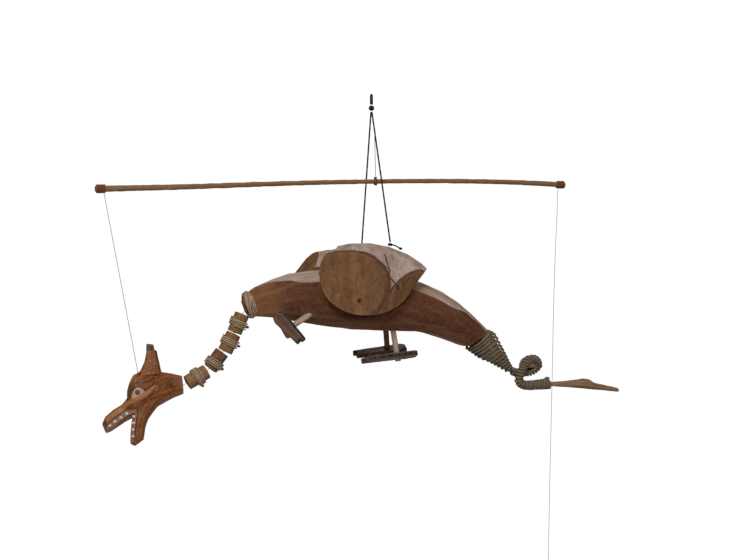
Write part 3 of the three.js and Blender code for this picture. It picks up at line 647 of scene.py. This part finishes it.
tie_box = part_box("stick_thread")
thread_route = spaced((0.0024, -0.0049, -0.05), (0.0052, 0, tie_box[0].z), 30)
thread = settle(
    strand("stick_thread", thread_route, THREAD / 2, 2, 0.002, 8), ["stick_thread"], "orange_thread"
)
head_route = spaced((-0.3227, -0.0068, -0.1234), (-0.2845, -0.003, -0.327), 40)
head_line = settle(strand("head_line", head_route, NYLON / 2, 1, sides=8), ["head_line"], "clear_line")
pull_route = smooth_route(
    [
        (0.254, 0.006, -0.1118), (0.2524, 0.006, -0.118), (0.253, 0.007, -0.133), (0.2515, 0.008, -0.176),
        (0.249, 0.008, -0.252), (0.2468, 0.008, -0.359), (0.244, 0.008, -0.491), (0.242, 0.008, -0.6)
    ],
    5
)
pull_line = settle(strand("pull_line", pull_route, NYLON / 2, 1, sides=8), ["pull_line"], "clear_line")
pull_knot = settle(
    knot("pull_knot", (0.242, 0.008, -0.6024), (0.0022, 0.002, 0.002), 0.0007, 4), ["pull_knot"], "clear_line"
)
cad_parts["neck_line"].data.materials.clear()
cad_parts["neck_line"].data.materials.append(FINISHES["clear_line"])

# ---- Body ----
BACK_LINE = [
    (-142, -229), (-125, -224), (-109, -223), (-99, -225), (-80, -224.5), (-40, -222), (0, -226), (30, -232),
    (56, -239.5), (77, -248.5), (98, -259), (115, -264), (137, -280), (153, -296)
]
BELLY_LINE = [
    (-130, -262), (-98, -267), (-86, -269), (-39, -273.5), (30, -277), (66, -280.5), (99, -290), (125, -308)
]
NOTCHES = [(-104, -255), (-99.5, -259.6), (-85, -267)]


def body():
    piece = carve("body", "body", 0.0013, 0.00035, 0.016)
    co = points_of(piece) / MM
    side, height = co[:, 0], co[:, 2]
    arch = np.interp(side, *zip(*BACK_LINE))
    write_field(piece, "grain", np.stack([side, co[:, 1], height - arch], 1) * MM)
    ledge_free = np.hypot(
        (side + 21 - 12 * (co[:, 1] > 0) * -1) / 62, (height + 222 + 8 * (co[:, 1] > 0)) / 45.5
    )
    write_field(piece, "band", (arch - height) * MM)
    # Painted light from below: the field for the lighter lower facet.
    write_field(piece, "belly_lit_from_below", (height - np.interp(side, *zip(*BELLY_LINE))) * MM)
    # Painted light: the field for the lightened front of the body.
    write_field(piece, "shoulder_lit", (side + 121 + 0.25 * (height + 245)) * MM)
    flat = co[:, [0, 2]]
    # Painted shade: the field for the dark strokes in the notches.
    write_field(piece, "notch_shade", (near_line(flat, NOTCHES) - 0.9) * MM)
    rings = np.minimum(np.abs(ledge_free - 1.0) * 50 - 0.8, 99)
    write_field(piece, "shade", np.where(height < -228, rings, 99) * MM)
    edge_field(piece)
    settle(piece, ["body"], "body_wood")


body()

# ---- Wings ----
FAR_SHIFT = np.array([-12, 0, -8])
SAWN = [
    ((-58.4, 37.3, -186), (-0.123, 0.971, 0.204)), ((-2.2, 56.1, -246.6), (0.365, 0.92, -0.127)),
    ((0, 8, -214), (0, -0.866, -0.5)), ((0, 8, 0), (0, -1, 0))
]
FAR_FACET = ((-60.8, 38, -192.4), (-0.79, -0.22, 0.58))


def wing(name, side):
    piece = carve(name, name, 0.0011, 0.0004, 0.011, 2)
    co = points_of(piece) / MM - (FAR_SHIFT if side > 0 else 0)
    co[:, 1] *= side
    write_field(piece, "grain", np.stack([co[:, 1] * 0.5 + co[:, 2], co[:, 0], co[:, 1]], 1) * MM)
    planes = SAWN + ([FAR_FACET] if side > 0 else [])
    past = np.max([(co - np.array(p)) @ (np.array(n) / np.linalg.norm(n)) for p, n in planes], axis=0)
    dome = np.sqrt((((co - np.array([-23, 27, -275])) / np.array([115, 31, 96])) ** 2).sum(1))
    under = (dome < 0.965) & (past < -1.5)
    write_field(piece, "sawn", np.where(under, -1, -0.9 - past) * MM)
    write_field(piece, "rim", np.where(np.abs(dome - 1) < 0.02, np.abs(past + 0.9) - 0.55, 9) * MM)
    flat = co[:, [0, 2]]
    crack = near_line(
        flat, [(2, -193.5), (2.8, -202.8), (5.4, -212.2), (2.2, -218), (10.6, -226.3), (14.6, -232.3)]
    ) - 1.0
    marks = near_line(flat, [(-43, -199), (-35.4, -207.4)]) - 0.8
    write_field(piece, "crack", np.minimum(crack, marks) * MM)
    knots = np.minimum(
        near_line(flat, [(-34.6, -246.2), (-34.7, -246.4)]) - 2.6,
        near_line(flat, [(14, -230), (14.8, -233.5)]) - 1.9
    )
    write_field(piece, "knot", knots * MM)
    # The field for the darker patch near the wing's lower point.
    write_field(piece, "smudge", (near_line(flat, [(-4.2, -236.6), (6.3, -241.5)]) - 3.5) * MM)
    edge_field(piece)
    settle(piece, [name], "wing_wood")


wing("wing_left", -1)
wing("wing_right", 1)

# ---- Head ----
PIVOT = Vector((-231.5, 0, -342.7))
ROLL = Matrix.Rotation(math.radians(24), 3, Vector((-0.86, 0, -0.51)).normalized())
EYE = [
    (-289.5, -354), (-286, -349.2), (-282.6, -347.3), (-278.5, -349), (-273.8, -354), (-277, -359),
    (-281, -362.7), (-287, -362.9), (-291, -361.7)
]
PUPIL_PLACE, PUPIL_REACH = (-283.5, -353.8), 2.9
BROW_LINE = [(-290.6, -351.3), (-288.6, -345.4), (-285, -342.2), (-275.6, -341.8), (-265.9, -336.9)]
FOREHEAD_LINE = [(-290.5, -343.4), (-293.1, -354.3), (-294.5, -362)]
UPPER_LIP = [
    (-321.2, -389.6), (-315.4, -384.6), (-307.3, -377.9), (-298.2, -372.2), (-291.4, -371), (-284.6, -371)
]
LOWER_LIP = [(-284.1, -373.1), (-285, -382.1), (-286.5, -391.1), (-288, -401.2), (-289.4, -409.9)]
CHEEK_LINE = [
    (-318, -381), (-303, -371), (-295.6, -364.7), (-288.8, -362.6), (-280.7, -360.1), (-273.8, -356.5),
    (-268.1, -351.9), (-262.4, -348.5)
]


def unrolled(co):
    turn = np.array(ROLL)
    return (co - np.array(PIVOT)) @ turn + np.array(PIVOT)


def rolled(point):
    return (ROLL @ (Vector(point) - PIVOT) + PIVOT) * MM


HEAD_FORM = []


def head():
    piece = carve("head", "head", 0.00075, 0.0002, 0.008, 2)
    co = unrolled(points_of(piece) / MM)
    flat, outward = co[:, [0, 2]], np.abs(co[:, 1])
    write_field(
        piece, "grain", np.stack([co[:, 0] + co[:, 2] * 0.4, co[:, 1], co[:, 2] - co[:, 0] * 0.4], 1) * MM
    )
    off = np.where(outward > 8.5, 0, 9)
    write_field(piece, "eye", (inside_outline(flat, EYE) + off) * MM)
    write_field(piece, "pupil", (near_line(flat, [PUPIL_PLACE, PUPIL_PLACE]) - PUPIL_REACH + off) * MM)
    rim = np.abs(inside_outline(flat, EYE) - 0.5) - 0.55
    lines = np.minimum.reduce(
        [rim, near_line(flat, BROW_LINE) - 0.85, near_line(flat, FOREHEAD_LINE) - 1.1]
    ) + off
    lips = np.minimum(
        near_line(flat, UPPER_LIP), near_line(flat, LOWER_LIP)
    ) - 0.8 + np.where(outward > 4, 0, 9)
    write_field(piece, "lines", np.minimum(lines, lips) * MM)
    below = flat[:, 1] - np.interp(flat[:, 0], *zip(*UPPER_LIP))
    jaw = np.interp(-flat[:, 1], *zip(*[(-z, x) for x, z in LOWER_LIP]))
    gum = np.where(flat[:, 0] < -291, np.maximum(below, flat[:, 1] + 372), flat[:, 0] - jaw)
    write_field(piece, "gum", np.where((flat[:, 1] < -372) & (flat[:, 0] < -283), gum, 9) * MM)
    ridge = near_line(flat, CHEEK_LINE) - 3.0 + np.where(outward > 7, 0, 6)
    bevel = near_line(flat, [(-291, -340), (-284, -330), (-276, -318), (-272.6, -300)]) - 1.6
    write_field(piece, "ridge", ridge * MM)
    write_field(piece, "bevel", bevel * MM)
    HEAD_FORM.append(co)
    strokes = [
        [(-265.6, -344), (-263.5, -338)], [(-259.8, -339.3), (-258.5, -334)], [(-257.3, -333), (-262, -331)],
        [(-262, -347), (-259, -352)], [(-255, -339), (-253.5, -346)]
    ]
    write_field(
        piece, "knifework", (np.minimum.reduce([near_line(flat, s) for s in strokes]) - 0.45 + off) * MM
    )
    # Painted shade: the field for the darkened recess behind the cheek.
    write_field(piece, "recess_shade", (near_line(flat, [(-248.6, -343), (-241, -351)]) - 3.2 + off) * MM)
    write_field(piece, "nose", (near_line(flat, [(-322.5, -383), (-321.5, -391)]) - 2.4) * MM)
    write_field(piece, "tips", (-303.7 - co[:, 2]) * MM)
    edge_field(piece)
    settle(piece, ["head"], "head_wood")


head()


def tooth(at, out, size):
    """One peg tooth: a small block, rounded, set on the jaw's side."""
    bpy.ops.mesh.primitive_cube_add(size=1, location=(0, 0, 0))
    made = bpy.context.object
    made.scale = (size[0] * MM, size[1] * MM, size[2] * MM)
    bpy.ops.object.transform_apply(location=False, rotation=False, scale=True)
    apply_modifier(made, "BEVEL", width=0.0005, segments=2)
    apply_modifier(made, "SUBSURF", levels=2, render_levels=2)
    made.data.transform(Matrix.Translation(rolled((at[0], out, at[1]))) @ (ROLL.to_4x4()))
    bpy.ops.object.shade_smooth()
    return made


def bone_finish():
    finish = Finish("bone teeth", 0.35, Coat_Weight=0.1)
    stain = finish.noise(finish.place((500,) * 3), 1, 4, 0.6)
    colour = finish.mix(finish.step(stain, 0.4, 0.7, 0.7), (0.82, 0.68, 0.5), (0.42, 0.24, 0.13))
    return finish.done(colour, finish.step(stain, 0.3, 0.7, 0.5, 0.3), finish.relief(stain, 0.0002, 0.5))


FINISHES["bone"] = bone_finish()
for side in (-1, 1):
    skin = HEAD_FORM[0][np.sign(HEAD_FORM[0][:, 1]) == side]

    def surface(x, z):
        close = np.hypot(skin[:, 0] - x, skin[:, 2] - z) < 1.6
        return np.abs(skin[close, 1]).max() if close.any() else 8.0

    upper_places = [(-315.6, -389), (-309.8, -384.9), (-302.9, -380.6), (-296.1, -376.6)]
    teeth = [tooth(at, side * (surface(*at) - 0.1), (3.6, 2.4, 3.4)) for at in upper_places]
    for k in range(4):
        share = k / 4 + 0.12
        x, z = -288.2 - 2.4 * share, -376.5 - 30 * share
        teeth.append(tooth((x, z), side * (surface(x, z) - 0.1), (3.4, 2.2, 3.2)))
    settle(as_one("teeth_left" if side < 0 else "teeth_right", teeth), [], "cream_cord", "bone")

# ---- Neck ----
SEGMENTS = [
    ((-160.8, -262.5), (-170.3, -283.6), 0.5), ((-171, -285.2), (-181.6, -305.6), 0.46),
    ((-185.2, -306.6), (-199.4, -325), 0.66), ((-203.6, -328.2), (-226.6, -341), 0.46)
]
for k, ((x1, z1), (x2, z2), at) in enumerate(SEGMENTS, 1):
    start, end = Vector((x1, 0, z1)) * MM, Vector((x2, 0, z2)) * MM
    barrel = carve(f"neck_segment_{k}", f"neck_segment_{k}", 0.0005, 0.0003, 0.007, 5)
    round_up(barrel, start, end, 0.0083, 0.00875)
    grain_along(barrel, start, end)
    edge_field(barrel)
    settle(barrel, [f"neck_segment_{k}"], "neck_dark_wood" if k == 3 else "neck_tan_wood")
    axis, middle = end - start, start.lerp(end, at)
    wound = winding(middle, axis, 0.0103, 4, 0.00225, 1.0, 1.2 + k, 0.05, 32, k)
    side = axis.normalized().cross(Vector((0, 1, 0))).normalized()
    at_knot = middle + side * (0.0122 if side.x > 0 else -0.0122)
    wrap = as_one(
        f"neck_wrap_{k}",
        [
            strand("neck turns", wound, 0.00095, 2, 0.004, 8, 0.18),
            knot("neck hitch", at_knot, (0.002, 0.0018, 0.0021), 0.0008, 3, k)
        ]
    )
    settle(wrap, [f"neck_wrap_{k}"], "cream_cord")


def lashing():
    """Three crossing bands of turns round the body's front stub."""
    parts = []
    for k, (lean, turns, start) in enumerate(((0.12, 4, 0.3), (0.34, 2, 1.9), (-0.22, 2, 4.0))):
        top, bottom = Vector((-0.1567, 0, -0.2385)), Vector((-0.1489, 0, -0.2652))
        across = (top - bottom).normalized()
        along = across.cross(Vector((0, 1, 0)))
        along = along if along.x > 0 else -along
        middle, out = top.lerp(bottom, 0.5), []
        for s in range(int(turns * 40) + 1):
            turn = s / 40
            a = math.tau * turn + start
            grow = 0.0009 + 0.0006 * k + 0.0003 * math.sin(5 * a + k)
            shift = (turn - turns / 2) * 0.0021 + lean * 0.009 * math.cos(a)
            wide = 0.0112 + 0.13 * (shift + 0.004)
            out.append(
                middle + along * shift + across * ((0.0135 + grow + 0.25 * shift) * math.sin(a))
                + Vector((0, (wide + grow) * math.cos(a), 0))
            )
        parts.append(strand("lashing turns", out, 0.00095, 2, 0.004, 8, 0.18))
    settle(as_one("neck_lashing", parts), ["neck_lashing"], "cream_cord")


lashing()

# ---- Legs and feet ----
LEGS = {
    "front_left": ((-80, -24, -259.5), (-116.5, -44, -277.5), (0.63, -0.27, -0.74)),
    "front_right": ((-68, 22, -262), (-100, 43, -273), (0.5, 0.2, -0.84)),
    "rear_left": ((18.5, -19, -272), (25, -22, -315), (-1, -0.03, -0.085)),
    "rear_right": ((24, 18, -272), (28.5, 21, -311), (-1, 0.02, -0.1)),
}
for name, (hip, ankle, toes) in LEGS.items():
    hip, ankle, toes = Vector(hip) * MM, Vector(ankle) * MM, Vector(toes).normalized()
    dowel = carve(f"leg_{name}", f"leg_{name}", 0.0005, 0.0002, 0.006)
    grain_along(dowel, hip, ankle)
    edge_field(dowel)
    # Painted shade: the far rear leg takes the shaded copy of the pale dowel.
    settle(dowel, [f"leg_{name}"], "pale_dowel", "stained_dowel" if name == "rear_right" else None)
    foot = carve(f"foot_{name}", f"foot_{name}", 0.0006, 0.0004, 0.007, 2)
    grain_along(foot, ankle, ankle + toes)
    co = points_of(foot)
    reach = (co - np.array(ankle)) @ np.array(toes)
    normals = np.zeros(len(co) * 3)
    foot.data.vertex_normals.foreach_get("vector", normals)
    over_way = (hip - ankle).normalized()
    facing = np.abs(normals.reshape(-1, 3) @ np.array((over_way - toes * over_way.dot(toes)).normalized()))
    toe_end = reach.max()
    write_field(foot, "painted", np.minimum((facing - 0.55) * 0.004, toe_end - 0.006 - reach))
    edge_field(foot)
    settle(foot, [f"foot_{name}"], "foot_wood", "foot_wood" if name.startswith("front") else "rear_foot_wood")

# ---- Tail ----
CONE_TOP = [(153.2, -287), (162.2, -291.4), (170.5, -305), (177.3, -316.7), (183, -327.5), (188.4, -336)]
CONE_BOTTOM = [(121.8, -307.6), (130.5, -314), (141.5, -321.5), (157, -328), (169, -334.5), (183.2, -342.4)]
CONE_WIDE = [17, 16.4, 14.2, 11, 7.6, 5]


def cone_winding():
    tops = smooth_route([(x, 0, z) for x, z in CONE_TOP], 12)
    bottoms = smooth_route([(x, 0, z) for x, z in CONE_BOTTOM], 12)
    turns, steps, out = 12.5, 36, []
    for k in range(int(turns * steps) + 1):
        t = 0.035 + 0.95 * k / (turns * steps)
        at = t * (len(tops) - 1)
        i = min(int(at), len(tops) - 2)
        top, bottom = tops[i].lerp(tops[i + 1], at - i), bottoms[i].lerp(bottoms[i + 1], at - i)
        wide = np.interp(t * 5, range(6), CONE_WIDE)
        angle = math.tau * k / steps
        shake = 0.25 * hash_noise(Vector((k * 0.11, 3, 0)))
        middle, half = (top + bottom) / 2, (top - bottom) / 2
        scale = (half.length - 0.85 + shake) / half.length
        out.append(
            (
                middle + half * (scale * math.sin(angle))
                + Vector((0, (wide - 0.85 + shake) * math.cos(angle), 0))
            ) * MM
        )
    core = []
    for i in range(2, len(tops) - 1):
        core.append((tops[i] + bottoms[i]) / 2 * MM)
    reach = [(tops[i] - bottoms[i]).length / 2 * MM for i in range(2, len(tops) - 1)]
    fill = strand(
        "cone core", core, lambda t: 0.86 * np.interp(t * (len(reach) - 1), range(len(reach)), reach) - 0.001,
        1, sides=20
    )
    turns_piece = strand("cone turns", out, 0.00165, 3, 0.006, 12, 0.34)
    settle(as_one("tail_binding", [turns_piece, fill]), ["tail_binding"], "tail_rope")


cone_winding()
TAIL_ROUTE = [
    (186.2, 0, -339.7), (194, 3, -341.5), (205, 6.5, -343), (217, 5, -341), (223.5, 1, -334.5),
    (220, -3, -327), (212.5, -5, -324.3), (204.5, -6.5, -328), (199, -7.5, -335), (194.5, -8, -343),
    (193.5, -6, -350.5), (200, -3, -356.5), (213, 0, -358.2), (226, 0, -357.6), (238.5, 0, -356.8)
]
TAIL_REACH = [5.2, 5.2, 5.2, 5.2, 5.2, 5.3, 5.6, 6, 6.6, 7.4]


def tail_rope():
    """The knotted tail: a core rope served all round with a thinner one."""
    core = smooth_route([Vector(p) * MM for p in TAIL_ROUTE], 10)
    total = length_of(core)
    turns, out = int(total / 0.0034), []
    side = Vector((0, 1, 0))
    travelled = 0.0
    for k in range(len(core) - 1):
        ahead = (core[k + 1] - core[k]).normalized()
        side = (side - ahead * side.dot(ahead)).normalized()
        up = ahead.cross(side)
        for s in range(5):
            share = (travelled + (core[k + 1] - core[k]).length * s / 5) / total
            reach = np.interp(
                share * 9, range(10), TAIL_REACH
            ) * MM - 0.0014 + 0.0005 * hash_noise(Vector((share * 60, 1, 0)))
            a = math.tau * turns * share
            out.append(
                core[k].lerp(core[k + 1], s / 5) + side * (reach * math.cos(a)) + up * (reach * math.sin(a))
            )
        travelled += (core[k + 1] - core[k]).length
    served = strand("serving", out, 0.0017, 3, 0.006, 12, 0.34)
    heart = strand(
        "tail heart", core, lambda t: (np.interp(t * 9, range(10), TAIL_REACH) - 2.0) * MM, 1, sides=12
    )
    nub = knot("tail nub", (0.236, 0, -0.3502), (0.0034, 0.0026, 0.0024), 0.001, 3, 2)
    bundle = knot("tail bundle", (0.209, -0.0005, -0.3335), (0.0125, 0.0082, 0.0128), 0.0027, 7, 3)
    bundle_cap = knot("tail bundle cap", (0.2125, -0.001, -0.3255), (0.0085, 0.0065, 0.0075), 0.0024, 5, 5)
    settle(as_one("tail_rope", [served, heart, nub, bundle, bundle_cap]), ["tail_rope"], "tail_rope")


tail_rope()
blade = carve("tail_blade", "tail_blade", 0.0007, 0.0003, 0.01, 2)
grain_along(blade, (0.229, 0, -0.357), (0.336, 0, -0.368))
edge_field(blade)
settle(blade, ["tail_blade"], "tail_wood")

# ---- Stick ----
stick = carve("stick", "stick", 0.0008, 0.0004, 0.009, 4)
grain_along(stick, (-0.333, -0.007, -0.1185), (0.263, 0.006, -0.106))
edge_field(stick)
settle(stick, ["stick"], "stick_wood")
for name in ("stick_binding_left", "stick_binding_right"):
    low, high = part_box(name)
    middle, reach = (low + high) / 2, (high.z - low.z) / 2 - 0.0006
    turns = strand(
        "binding turns", winding(middle, (1, 0.01, 0.02), reach, 9, 0.00112, 1, 0, 0.03, 28, 5), 0.0006, 2,
        0.003, 8
    )
    settle(as_one(name, [turns]), [name], "orange_thread")
low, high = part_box("stick_tie")
tie_middle = Vector((0.0052, (low.y + high.y) / 2, -0.1055))
tie_parts = [
    strand(
        "tie turns", winding(tie_middle, (1, 0.02, 0.02), 0.0038, 3, 0.0009, 1, 0, 0.03, 28, 7), 0.0005, 2,
        0.002, 8
    ),
    knot("tie hitch", (0.0052, tie_middle.y, high.z - 0.0019), (0.002, 0.0016, 0.0016), 0.0006, 4, 1),
    knot("tie tail", (0.0062, tie_middle.y, low.z + 0.0013), (0.0012, 0.0011, 0.0012), 0.0005, 2, 2),
]
settle(as_one("stick_tie", tie_parts), ["stick_tie"], "orange_thread")


# ---- Stage and light ----
def seen_white(tree, shader, output):
    """The lamps and the room light the piece as they are, and the paper behind it is burnt out to white."""
    path, white, both = (
        tree.nodes.new("ShaderNode" + kind) for kind in ("LightPath", "Emission", "MixShader")
    )
    white.inputs["Strength"].default_value = 1.02
    tree.links.new(path.outputs["Is Camera Ray"], both.inputs[0])
    tree.links.new(shader, both.inputs[1])
    tree.links.new(white.outputs[0], both.inputs[2])
    tree.links.new(both.outputs[0], output)


def stage():
    bpy.ops.mesh.primitive_plane_add(size=40, location=(0, 0, -0.665))
    floor = bpy.context.object
    floor.name = "floor"
    pale = Finish("pale floor", 0.9)
    speck = pale.noise(pale.place((3,) * 3), 1, 2)
    pale.done(pale.mix(speck, (0.6, 0.6, 0.6), (0.64, 0.64, 0.64)))
    seen_white(pale.tree, pale.shader.outputs[0], pale.tree.nodes["Material Output"].inputs["Surface"])
    floor.data.materials.append(pale.material)
    world = bpy.data.worlds.new("studio")
    bpy.context.scene.world = world
    world.use_nodes = True
    around = world.node_tree.nodes["Background"]
    around.inputs["Strength"].default_value = 0.62
    seen_white(world.node_tree, around.outputs[0], world.node_tree.nodes["World Output"].inputs["Surface"])
    for place, power, size in (
        ((-1.3, -1.9, 1.6), 44, 1.1), ((1.8, -1.2, 0.9), 9, 1.6), ((0.3, 2.0, 1.4), 12, 1.8)
    ):
        bpy.ops.object.light_add(type="AREA", location=place)
        lamp = bpy.context.object
        lamp.data.energy, lamp.data.size = power, size
        lamp.rotation_euler = (Vector((0, 0, -0.25)) - Vector(place)).to_track_quat("-Z", "Y").to_euler()
    bpy.context.scene.view_settings.view_transform = "Standard"


stage()
bpy.ops.object.select_all(action="DESELECT")
